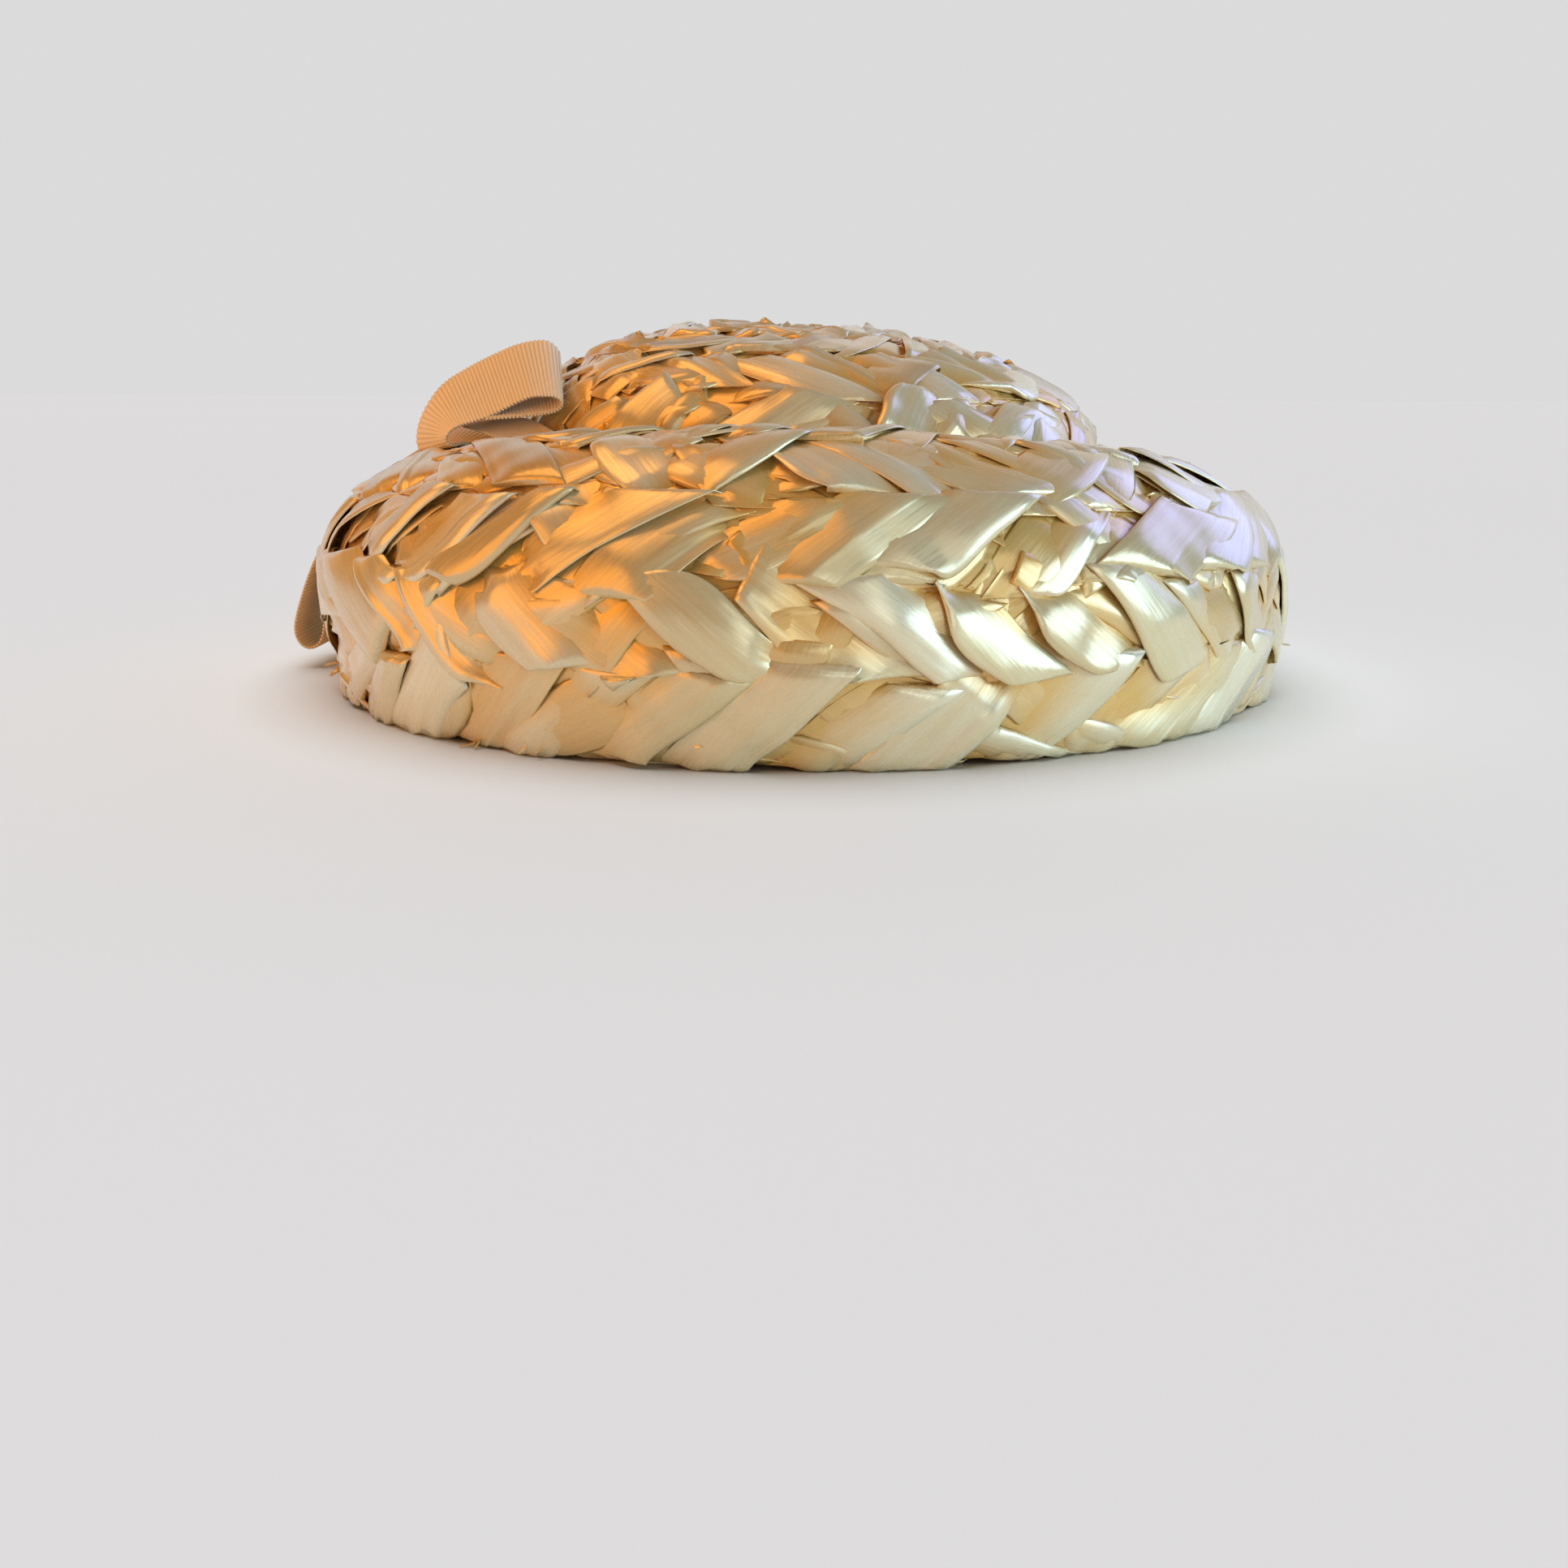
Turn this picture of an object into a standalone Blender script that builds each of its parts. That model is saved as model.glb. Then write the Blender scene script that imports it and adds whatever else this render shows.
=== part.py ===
"""A plaited raffia hat: a shallow crown, a fat rolled brim, and a grosgrain band with a bow.

Metres, +Z up. The front of the hat faces -Y and it stands on its rim at z = 0.
Heights are measured from the rim, radii from the hat's middle.
"""
import math

import bmesh
import bpy
import numpy as np
from mathutils import Vector

MM = 0.001

# The hat is a little out of round. Each size is given for four sides,
# which are turned this far round from the front, right, back and left.
SIDES_TURN = math.radians(20)

# Each size of the brim's section, in mm: near, right, far and left side.
BRIM = {
    "valley_radius": (97.5, 95.5, 95.5, 92.0),
    "valley_height": (48.0, 38.0, 42.0, 45.0),
    "ridge_radius": (111.0, 106.0, 104.0, 103.5),
    "ridge_height": (78.5, 64.0, 67.0, 67.5),
    "widest_radius": (149.5, 145.5, 151.0, 145.5),
    "widest_height": (36.0, 32.0, 36.0, 37.0),
    "rim_radius": (142.5, 142.0, 139.5, 142.0),
}
BRIM_FULLNESS = 1.75
WALL = 2.2
LIP_REACH = 4.5
HEM_REACH = 9.0
HEM_ROUND = 2.5

# Each size of the crown's section, in mm, for the same four sides.
CROWN = {
    "wall_radius": (93.0, 91.0, 91.0, 87.5),
    "shoulder_height": (63.0, 63.0, 63.0, 63.0),
}
CROWN_TOP = 105.2
CROWN_FULLNESS = 2.3
# The dome leans this far towards the bow at its top.
CROWN_LEAN = 11.5
CROWN_OPEN_TOP = 3.0

# The plait: rows of flat strips that lean to one side, then to the other.
BRIM_ROWS = 6
BRIM_STRIPS = 44
CROWN_ROWS = 6
CROWN_STRIPS = 30
STRIP_LEAN = 1.5
STEP_WIDTH = 0.18
STRIP_HIGH = 1.5
STRIP_LOW = 0.0
ROW_DIP = 0.9

# Where each surface has a ring of points: in rows up the outer side, in shares of the line inside.
BRIM_OUTER_RINGS = (0.5, 1.0, 1.3, 1.65, 2.0, 2.5, 3.0, 3.5, 4.0, 4.5, 5.0, 5.5, 6.0)
BRIM_INNER_RINGS = (1.0, 0.88, 0.74, 0.6, 0.47, 0.35, 0.24, 0.13, 0.04)
CROWN_OUTER_RINGS = (0.0, 0.5, 1.0, 1.5, 2.0, 2.5, 3.0, 3.5, 4.0, 4.5, 5.0, 5.5, 6.0)
CROWN_INNER_RINGS = (0.985, 0.85, 0.68, 0.52, 0.38, 0.24, 0.0)
CROWN_CALM_FOOT = 1.5
CROWN_CALM_TOP = 3.0
SLOPE_REACH = 0.01
SHARP_EDGE = math.radians(35)

GAP = 0.4

# The grosgrain ribbon.
RIBBON_THICK = 1.1
BAND_WIDTH = 24.0
BAND_STAND_OFF = 1.9
BAND_FOOT = 1.0
BAND_SECTIONS = 60
BOW_SIDE = math.radians(-82)
BOW_SPREAD = math.radians(34)
LIFTED_BAND = {"upper_radius": 89.2, "upper_height": 79.0, "lower_radius": 103.5, "lower_height": 76.6}
SECTIONS_PER_ROW = 2

# The loops of the bow run between two edges, near and far. Each edge's place is in mm:
# out from the hat's middle, back along the hat's left side, and up from the rim.
INNER_LOOP = [
    # near_out, near_back, near_up, far_out, far_back, far_up
    (91.0, -41.0, 72.2, 98.0, -14.0, 70.4),
    (96.5, -46.0, 73.9, 104.5, -18.5, 71.6),
    (99.8, -49.0, 74.2, 111.0, -22.0, 70.6),
    (100.3, -49.6, 75.1, 114.3, -23.0, 74.0),
    (99.9, -50.0, 76.2, 110.8, -23.4, 80.2),
    (96.5, -50.8, 77.8, 104.8, -24.2, 87.8),
    (88.7, -52.0, 79.6, 98.3, -25.3, 92.8),
    (77.3, -55.0, 84.6, 85.7, -27.3, 98.5),
    (71.8, -57.0, 85.4, 78.6, -28.3, 100.3),
    (68.2, -58.0, 85.0, 73.6, -29.1, 100.1),
    (66.6, -58.6, 83.2, 70.7, -29.9, 96.4),
    (69.0, -58.4, 81.4, 73.8, -29.7, 92.1),
    (77.0, -56.5, 80.2, 84.0, -28.0, 87.4),
    (88.5, -53.5, 79.4, 95.0, -26.0, 81.4),
]
OUTER_LOOP = [
    # near_out, near_back, near_up, far_out, far_back, far_up
    (98.0, -9.0, 69.9, 95.5, 22.0, 69.9),
    (104.0, -7.0, 73.0, 101.2, 24.0, 72.0),
    (111.5, -3.5, 75.6, 108.5, 27.5, 73.8),
    (119.0, 0.5, 69.8, 115.5, 31.5, 69.2),
    (131.5, 3.0, 61.2, 127.0, 34.0, 61.4),
    (140.0, 3.0, 54.4, 135.8, 34.0, 54.8),
    (146.3, 1.0, 46.4, 142.8, 32.0, 47.0),
    (150.2, -2.0, 40.4, 147.5, 29.0, 41.0),
    (154.0, -4.0, 33.0, 151.8, 28.0, 33.5),
    (158.0, -4.0, 23.5, 156.0, 28.0, 24.0),
    (161.0, -4.0, 13.5, 159.0, 28.0, 14.0),
    (159.6, -4.0, 8.2, 157.5, 28.0, 8.7),
    (156.0, -4.0, 6.9, 154.0, 28.0, 7.4),
    (152.8, -4.0, 9.8, 150.8, 28.0, 10.3),
    (151.0, -4.0, 18.0, 149.2, 28.0, 18.5),
    (150.2, -4.0, 27.0, 148.4, 27.5, 27.5),
    (149.6, -4.3, 33.5, 147.6, 27.0, 34.0),
]

# How many points each bend of the outer lines is drawn with.
GROOVE_POINTS = 16
SHOULDER_POINTS = 28
SIDE_POINTS = 14
WALL_POINTS = 8
DOME_POINTS = 40

RAFFIA = {"name": "raffia", "colour": (0.84, 0.72, 0.47, 1.0), "roughness": 0.38}
GROSGRAIN = {"name": "grosgrain", "colour": (0.72, 0.56, 0.38, 1.0), "roughness": 0.85}


def clear_scene():
    for old in list(bpy.data.objects):
        bpy.data.objects.remove(old, do_unlink=True)


def make_material(finish):
    material = bpy.data.materials.new(finish["name"])
    material.use_nodes = True
    shader = material.node_tree.nodes["Principled BSDF"]
    shader.inputs["Base Color"].default_value = finish["colour"]
    shader.inputs["Roughness"].default_value = finish["roughness"]
    shader.inputs["Metallic"].default_value = 0.0
    return material


def around(sizes, turn):
    """The size at an angle from the near side, blended smoothly between the four sides."""
    near, right, far, left = sizes
    middle = (near + right + far + left) / 4
    oval = (near + far - right - left) / 4
    return (middle + (near - far) / 2 * math.cos(turn) + (right - left) / 2 * math.sin(turn)
            + oval * math.cos(2 * turn))


def sizes_at(table, turn):
    return {name: around(sizes, turn) for name, sizes in table.items()}


def place(radius, turn, height):
    """A point of the hat in metres, from its radius, its turn from the near side and its height."""
    angle = turn + SIDES_TURN
    return Vector((radius * math.sin(angle), -radius * math.cos(angle), height)) * MM


def crown_place(radius, turn, height):
    """A point of the crown in metres, where the dome leans towards the bow the higher it gets."""
    shoulder = around(CROWN["shoulder_height"], turn)
    share = max(0.0, (height - shoulder) / (CROWN_TOP - shoulder))
    return place(radius, turn, height) + place(CROWN_LEAN * share ** 2, -math.pi / 2, 0)


def brim_line(turn):
    """The brim's outer line from the foot of the groove, over the ridge and down to the rim."""
    size = sizes_at(BRIM, turn)
    rise = size["ridge_height"] - size["valley_height"]
    reach = size["ridge_radius"] - size["valley_radius"]
    spread = size["widest_radius"] - size["ridge_radius"]
    drop = size["ridge_height"] - size["widest_height"]
    tuck = size["widest_radius"] - size["rim_radius"]
    line = []
    for bend in np.linspace(0, math.pi / 2, GROOVE_POINTS)[:-1]:
        line.append((size["ridge_radius"] - reach * math.cos(bend),
                     size["valley_height"] + rise * math.sin(bend)))
    for bend in np.linspace(0, math.pi / 2, SHOULDER_POINTS):
        line.append((size["ridge_radius"] + spread * math.sin(bend) ** (2 / BRIM_FULLNESS),
                     size["widest_height"] + drop * math.cos(bend) ** (2 / BRIM_FULLNESS)))
    for down in np.linspace(0, 1, SIDE_POINTS)[1:]:
        line.append((size["widest_radius"] - tuck * down ** BRIM_FULLNESS,
                     HEM_ROUND + (size["widest_height"] - HEM_ROUND) * (1 - down)))
    return np.array(line)


def crown_line(turn):
    """The crown's outer line from its foot in the groove up to the small ring at its top."""
    size = sizes_at(CROWN, turn)
    foot = around(BRIM["valley_height"], turn) + GAP
    rise = CROWN_TOP - size["shoulder_height"]
    line = []
    for height in np.linspace(foot, size["shoulder_height"], WALL_POINTS)[:-1]:
        line.append((size["wall_radius"], height))
    last = math.acos((CROWN_OPEN_TOP / size["wall_radius"]) ** (CROWN_FULLNESS / 2))
    for bend in np.linspace(0, last, DOME_POINTS):
        line.append((size["wall_radius"] * math.cos(bend) ** (2 / CROWN_FULLNESS),
                     size["shoulder_height"] + rise * math.sin(bend) ** (2 / CROWN_FULLNESS)))
    return np.array(line)


def walk(line, shares):
    """Points and outward normals at shares of a line's length."""
    steps = np.linalg.norm(np.diff(line, axis=0), axis=1)
    travelled = np.concatenate([[0], np.cumsum(steps)])
    wanted = np.array(shares) * travelled[-1]
    radius = np.interp(wanted, travelled, line[:, 0])
    height = np.interp(wanted, travelled, line[:, 1])
    step = travelled[-1] * SLOPE_REACH
    ahead = np.clip(wanted + step, 0, travelled[-1])
    behind = np.clip(wanted - step, 0, travelled[-1])
    run = np.interp(ahead, travelled, line[:, 0]) - np.interp(behind, travelled, line[:, 0])
    climb = np.interp(ahead, travelled, line[:, 1]) - np.interp(behind, travelled, line[:, 1])
    size = np.hypot(run, climb)
    return np.stack([radius, height], 1), np.stack([-climb / size, run / size], 1)


def plait(row_place, column, fade):
    """How far a strip's edge leans round the hat, in strips, and how high it stands."""
    lean = STRIP_LEAN * abs((row_place + 1) % 2 - 1)
    inside_row = row_place % 1
    dip = ROW_DIP * (1 - math.sin(math.pi * inside_row))
    edge = STRIP_HIGH if column % 2 == 0 else STRIP_LOW
    return lean, (edge - dip) * fade


def close_ring(name, sections):
    """One closed body from equal closed sections that follow each other round the hat."""
    mesh = bpy.data.meshes.new(name)
    body = bmesh.new()
    rings = [[body.verts.new(point) for point in section] for section in sections]
    for this, following in zip(rings, rings[1:] + rings[:1]):
        for low in range(len(this)):
            high = (low + 1) % len(this)
            body.faces.new((this[low], following[low], following[high], this[high]))
    finish_body(body, mesh)
    return mesh


def close_strip(name, sections):
    """One closed body from equal closed sections in a row, with both ends capped."""
    mesh = bpy.data.meshes.new(name)
    body = bmesh.new()
    rings = [[body.verts.new(point) for point in section] for section in sections]
    for this, following in zip(rings, rings[1:]):
        for low in range(len(this)):
            high = (low + 1) % len(this)
            body.faces.new((this[low], following[low], following[high], this[high]))
    body.faces.new(rings[0][::-1])
    body.faces.new(rings[-1])
    finish_body(body, mesh)
    return mesh


def finish_body(body, mesh):
    bmesh.ops.triangulate(body, faces=body.faces)
    bmesh.ops.recalc_face_normals(body, faces=body.faces)
    body.to_mesh(mesh)
    body.free()


def add_piece(name, mesh, material, parent):
    piece = bpy.data.objects.new(name, mesh)
    bpy.context.scene.collection.objects.link(piece)
    mesh.materials.append(material)
    mesh.shade_smooth()
    mesh.set_sharp_from_angle(angle=SHARP_EDGE)
    piece.parent = parent
    return piece


def strip_turns(strips):
    """The turn of each strip's high and low edge, in strips."""
    edges = []
    for strip in range(strips):
        edges += [float(strip), strip + STEP_WIDTH]
    return edges


def brim_mesh():
    sections = []
    for column, edge in enumerate(strip_turns(BRIM_STRIPS)):
        section = []
        middle = edge / BRIM_STRIPS * math.tau
        size = sizes_at(BRIM, middle)
        lip = size["valley_height"]
        lip_radius = size["valley_radius"] - GAP - LIP_REACH - WALL
        section.append(place(lip_radius, middle, lip))
        section.append(place(size["valley_radius"], middle, lip))
        for row_place in BRIM_OUTER_RINGS:
            fade = 0.0 if row_place == BRIM_ROWS else 1.0
            lean, stand = plait(row_place, column, fade)
            turn = (edge + lean) / BRIM_STRIPS * math.tau
            points, normals = walk(brim_line(turn), [row_place / BRIM_ROWS])
            radius, height = points[0] + normals[0] * stand
            section.append(place(radius, turn, height))
        section.append(place(size["rim_radius"] - HEM_ROUND, middle, 0.0))
        section.append(place(size["rim_radius"] - HEM_REACH, middle, 0.0))
        section.append(place(size["rim_radius"] - HEM_REACH, middle, WALL))
        points, normals = walk(brim_line(middle), BRIM_INNER_RINGS)
        for point, normal in zip(points, normals):
            radius, height = point - normal * WALL
            section.append(place(radius, middle, height))
        section.append(place(size["valley_radius"] + WALL, middle, lip - WALL))
        section.append(place(lip_radius, middle, lip - WALL))
        sections.append(section)
    return close_ring("brim", sections)


def crown_mesh():
    mesh = bpy.data.meshes.new("crown")
    body = bmesh.new()
    rings = []
    for column, edge in enumerate(strip_turns(CROWN_STRIPS)):
        ring = []
        middle = edge / CROWN_STRIPS * math.tau
        for row_place in CROWN_OUTER_RINGS:
            fade = min(1.0, (CROWN_ROWS - row_place) / CROWN_CALM_TOP, row_place / CROWN_CALM_FOOT)
            lean, stand = plait(row_place, column, fade)
            turn = (edge + lean) / CROWN_STRIPS * math.tau
            points, normals = walk(crown_line(turn), [row_place / CROWN_ROWS])
            radius, height = points[0] - normals[0] * stand
            ring.append(crown_place(radius, turn, height))
        points, normals = walk(crown_line(middle), CROWN_INNER_RINGS)
        for point, normal in zip(points, normals):
            radius, height = point + normal * WALL
            ring.append(crown_place(radius, middle, height))
        rings.append([body.verts.new(point) for point in ring])
    outer_count = len(CROWN_OUTER_RINGS)
    for this, following in zip(rings, rings[1:] + rings[:1]):
        for low in range(len(this)):
            high = (low + 1) % len(this)
            if low == outer_count - 1:
                continue
            body.faces.new((this[low], following[low], following[high], this[high]))
    for cap in (outer_count - 1, outer_count):
        tip = body.verts.new(sum((ring[cap].co for ring in rings), Vector()) / len(rings))
        for this, following in zip(rings, rings[1:] + rings[:1]):
            body.faces.new((this[cap], following[cap], tip))
    finish_body(body, mesh)
    return mesh


def ribbon_section(near, far, ahead):
    """The four corners of a ribbon between its near and far edge."""
    across = (far - near).normalized()
    facing = ahead.cross(across).normalized() * (RIBBON_THICK / 2 * MM)
    return [near - facing, far - facing, far + facing, near + facing]


def smooth_rows(rows, steps):
    """The rows of a table with steps between them, on a smooth curve through all of them."""
    rows = np.array(rows)
    padded = np.vstack([2 * rows[0] - rows[1], rows, 2 * rows[-1] - rows[-2]])
    smooth = []
    for index in range(len(rows) - 1):
        before, start, end, after = padded[index:index + 4]
        for part in np.arange(steps) / steps:
            smooth.append(0.5 * (2 * start + (end - before) * part
                                 + (2 * before - 5 * start + 4 * end - after) * part ** 2
                                 + (3 * start - before - 3 * end + after) * part ** 3))
    smooth.append(rows[-1])
    return np.array(smooth)


def bow_place(out, back, up):
    """A point of the bow in metres: out to the hat's left, back from the near side, and up."""
    turn = math.atan2(-out, -back)
    return place(math.hypot(out, back), turn, up)


def loop_mesh(name, rows):
    path = smooth_rows(rows, SECTIONS_PER_ROW)
    near = [bow_place(*row[:3]) for row in path]
    far = [bow_place(*row[3:]) for row in path]
    sections = []
    for index in range(len(path)):
        behind = max(index - 1, 0)
        before = min(index + 1, len(path) - 1)
        ahead = (near[before] + far[before]) - (near[behind] + far[behind])
        sections.append(ribbon_section(near[index], far[index], ahead))
    return close_strip(name, sections)


def band_mesh():
    """The ribbon stands against the crown in the groove and lies across the groove at the bow."""
    sections = []
    for index in range(BAND_SECTIONS):
        turn = index / BAND_SECTIONS * math.tau
        away = (turn - BOW_SIDE + math.pi) % math.tau - math.pi
        lifted = math.exp(-(away / BOW_SPREAD) ** 6)
        spread = lifted ** 2.5
        wall = around(CROWN["wall_radius"], turn) + BAND_STAND_OFF
        low = around(BRIM["valley_height"], turn) + BAND_FOOT
        upper_radius = wall + (LIFTED_BAND["upper_radius"] - wall) * lifted
        upper_height = low + BAND_WIDTH
        upper_height += (LIFTED_BAND["upper_height"] - upper_height) * lifted
        lower_radius = wall + (LIFTED_BAND["lower_radius"] - wall) * spread
        lower_height = low + (LIFTED_BAND["lower_height"] - low) * lifted
        upper = place(upper_radius, turn, upper_height)
        lower = place(lower_radius, turn, lower_height)
        ahead = place(1, turn + math.pi / 2, 0)
        sections.append(ribbon_section(upper, lower, ahead))
    return close_ring("crown_band", sections)


def lowest_and_highest(pieces):
    corners = np.array([corner[:] for piece in pieces for corner in piece.bound_box])
    return corners.min(axis=0), corners.max(axis=0)


def main():
    clear_scene()
    raffia = make_material(RAFFIA)
    grosgrain = make_material(GROSGRAIN)
    hat = bpy.data.objects.new("hat", None)
    bpy.context.scene.collection.objects.link(hat)
    pieces = [
        add_piece("crown", crown_mesh(), raffia, hat),
        add_piece("brim", brim_mesh(), raffia, hat),
        add_piece("crown_band", band_mesh(), grosgrain, hat),
        add_piece("bow_inner_loop", loop_mesh("bow_inner_loop", INNER_LOOP), grosgrain, hat),
        add_piece("bow_outer_loop", loop_mesh("bow_outer_loop", OUTER_LOOP), grosgrain, hat),
    ]
    lowest, highest = lowest_and_highest(pieces)
    hat.location = (-(lowest[0] + highest[0]) / 2, -(lowest[1] + highest[1]) / 2, -lowest[2])
    bpy.context.view_layer.update()


main()
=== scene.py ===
"""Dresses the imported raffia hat: plaited raffia strips, ribbed ribbon, a floor, lights and a camera."""

import math

import bpy
import numpy as np
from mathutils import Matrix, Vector


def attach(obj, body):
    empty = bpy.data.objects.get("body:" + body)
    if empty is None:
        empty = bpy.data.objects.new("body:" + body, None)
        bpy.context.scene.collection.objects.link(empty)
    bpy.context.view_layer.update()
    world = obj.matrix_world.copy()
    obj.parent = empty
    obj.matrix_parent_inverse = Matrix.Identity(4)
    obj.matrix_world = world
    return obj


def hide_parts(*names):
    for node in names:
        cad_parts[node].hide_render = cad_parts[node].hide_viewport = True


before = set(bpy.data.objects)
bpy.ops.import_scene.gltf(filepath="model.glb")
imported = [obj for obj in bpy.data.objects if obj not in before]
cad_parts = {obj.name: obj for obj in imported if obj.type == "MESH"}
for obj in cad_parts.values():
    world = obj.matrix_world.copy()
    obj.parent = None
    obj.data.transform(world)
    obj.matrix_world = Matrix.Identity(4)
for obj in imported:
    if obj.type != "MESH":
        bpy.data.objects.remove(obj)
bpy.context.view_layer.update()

MM = 0.001

# The hat's own sizes, in mm, the same as the solids'. Each has a value for four sides,
# near, right, far and left, which are turned a little round from the hat's front.
SIDES_TURN = math.radians(20)
BRIM = {
    "valley_radius": (97.5, 95.5, 95.5, 92.0),
    "valley_height": (48.0, 38.0, 42.0, 45.0),
    "ridge_radius": (111.0, 106.0, 104.0, 103.5),
    "ridge_height": (78.5, 64.0, 67.0, 67.5),
    "widest_radius": (149.5, 145.5, 151.0, 145.5),
    "widest_height": (36.0, 32.0, 36.0, 37.0),
    "rim_radius": (142.5, 142.0, 139.5, 142.0),
}
BRIM_FULLNESS = 1.75
BRIM_ROWS = 6
HEM_ROWS = 0.5
WALL = 2.2
HEM_ROUND = 2.5
HEM_REACH = 9.0
HEM_HEIGHT = 0.7
CROWN = {
    "wall_radius": (93.0, 91.0, 91.0, 87.5),
    "shoulder_height": (63.0, 63.0, 63.0, 63.0),
}
CROWN_TOP = 105.2
CROWN_FULLNESS = 2.3
CROWN_LEAN = 11.5
CROWN_ROWS = 6
CROWN_TIP = 1.0
GAP = 0.4
LIP_REACH = 4.5
BASE_OUTER = -1.7
WELD_REACH = 0.00001

# The ribbon band in the groove, and where it is lifted across the groove at the bow.
BOW_SIDE = math.radians(-82)
BOW_SPREAD = math.radians(34)
LIFTED_BAND = {"upper_radius": 89.2, "upper_height": 79.0, "lower_radius": 103.5, "lower_height": 76.6}
BAND_WIDTH = 24.0
BAND_STAND_OFF = 1.9
BAND_FOOT = 1.0
BAND_PLACES = 721
BAND_LIFT_POWER = 6
BAND_SPREAD_POWER = 2.5

# The middle of the hat lies a little off the frame's origin, because the bow stands out.
HAT_MIDDLE = Vector((6.172, -0.59, 0.0)) * MM

# The plait's strips: rows of flattened straws that lean one way, then the other.
STRIP_ANGLE = math.radians(39)
FLATTEST = math.radians(14)
STEEPEST = math.radians(68)
STRIP_THICK = 0.25
LONG_STEPS = np.concatenate([[-1, -0.988, -0.965], np.linspace(-0.92, 0.92, 17), [0.965, 0.988, 1]])
CROSS_STEPS = (-1, -0.96, -0.82, -0.5, -0.15, 0.15, 0.82, 0.96, 1)
FEW_LONG_STEPS = np.array([-1, -0.96, -0.8, -0.55, -0.28, 0, 0.28, 0.55, 0.8, 0.96, 1])
FEW_CROSS_STEPS = np.array([-1, -0.9, -0.5, 0, 0.5, 0.9, 1])
FOLD_STEP = 0.02
EDGE_LEVEL = -0.9

# How high a strip may stand off the surface, in mm: less under the bow's loops and behind the band.
MOST_LIFT = 2.8
PRESSED_BY = 2.1
BOW_REACH = math.radians(50)
BOW_REACH_EDGE = math.radians(12)
STRAP_SIDE = math.radians(-95)
STRAP_REACH = math.radians(16)
STRAP_REACH_EDGE = math.radians(5)
BEHIND_BAND = 1.1
BAND_RAISED = 10.0
BAND_EDGE = 3.0
CAP_ROOM = 0.6
LOWEST = 0.35

# How many places the lines of the brim and the crown are worked out at.
GROOVE_PLACES = 24
SHOULDER_PLACES = 60
SIDE_PLACES = 24
ROUND_PLACES = 8
FLAT_PLACES = 6
WALL_PLACES = 16
DOME_PLACES = 90
TINY = 1e-12


def around(sizes, turn):
    """The size at an angle from the near side, blended smoothly between the four sides."""
    near, right, far, left = sizes
    middle = (near + right + far + left) / 4
    oval = (near + far - right - left) / 4
    return (middle + (near - far) / 2 * np.cos(turn) + (right - left) / 2 * np.sin(turn)
            + oval * np.cos(2 * turn))


def brim_line(turn):
    """The brim's outer line up out of the groove, over the ridge and down, without and with its hem."""
    size = {name: around(sizes, turn) for name, sizes in BRIM.items()}
    rise = size["ridge_height"] - size["valley_height"]
    reach = size["ridge_radius"] - size["valley_radius"]
    spread = size["widest_radius"] - size["ridge_radius"]
    drop = size["ridge_height"] - size["widest_height"]
    tuck = size["widest_radius"] - size["rim_radius"]
    bend = np.linspace(0, math.pi / 2, GROOVE_PLACES)[:-1]
    groove = np.stack([size["ridge_radius"] - reach * np.cos(bend),
                       size["valley_height"] + rise * np.sin(bend)], 1)
    bend = np.linspace(0, math.pi / 2, SHOULDER_PLACES)
    shoulder = np.stack([size["ridge_radius"] + spread * np.sin(bend) ** (2 / BRIM_FULLNESS),
                         size["widest_height"] + drop * np.abs(np.cos(bend)) ** (2 / BRIM_FULLNESS)], 1)
    down = np.linspace(0, 1, SIDE_PLACES)[1:]
    side = np.stack([size["widest_radius"] - tuck * down ** BRIM_FULLNESS,
                     HEM_ROUND + (size["widest_height"] - HEM_ROUND) * (1 - down)], 1)
    bend = np.linspace(0, math.pi / 2, ROUND_PLACES)[1:]
    round_under = np.stack([size["rim_radius"] - HEM_ROUND * (1 - np.cos(bend)),
                            HEM_HEIGHT + (HEM_ROUND - HEM_HEIGHT) * (1 - np.sin(bend))], 1)
    inward = np.linspace(0, HEM_REACH - HEM_ROUND, FLAT_PLACES)[1:]
    flat_under = np.stack([size["rim_radius"] - HEM_ROUND - inward, np.full_like(inward, HEM_HEIGHT)], 1)
    outside = np.concatenate([groove, shoulder, side])
    return outside, np.concatenate([outside, round_under, flat_under])


def crown_line(turn):
    """The crown's outer line from its foot in the groove up to its top, twice, as it has no hem."""
    wall_radius = around(CROWN["wall_radius"], turn)
    shoulder = around(CROWN["shoulder_height"], turn)
    foot = around(BRIM["valley_height"], turn)
    rise = CROWN_TOP - shoulder
    up = np.linspace(foot, shoulder, WALL_PLACES)[:-1]
    wall = np.stack([np.full_like(up, wall_radius), up], 1)
    last = math.acos((CROWN_TIP / wall_radius) ** (CROWN_FULLNESS / 2))
    bend = np.linspace(0, last, DOME_PLACES)
    dome = np.stack([wall_radius * np.cos(bend) ** (2 / CROWN_FULLNESS),
                     shoulder + rise * np.sin(bend) ** (2 / CROWN_FULLNESS)], 1)
    line = np.concatenate([wall, dome])
    return line, line


def ease_into(value, limit, room):
    """The value, eased so that it never passes the limit by starting to slow down room before it."""
    sign = 1 if room > 0 else -1
    room = abs(room)
    past = np.maximum(sign * (value - limit) + room, 0)
    return np.where(past > 0, limit - sign * room * np.exp(-past / room), value)


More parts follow.
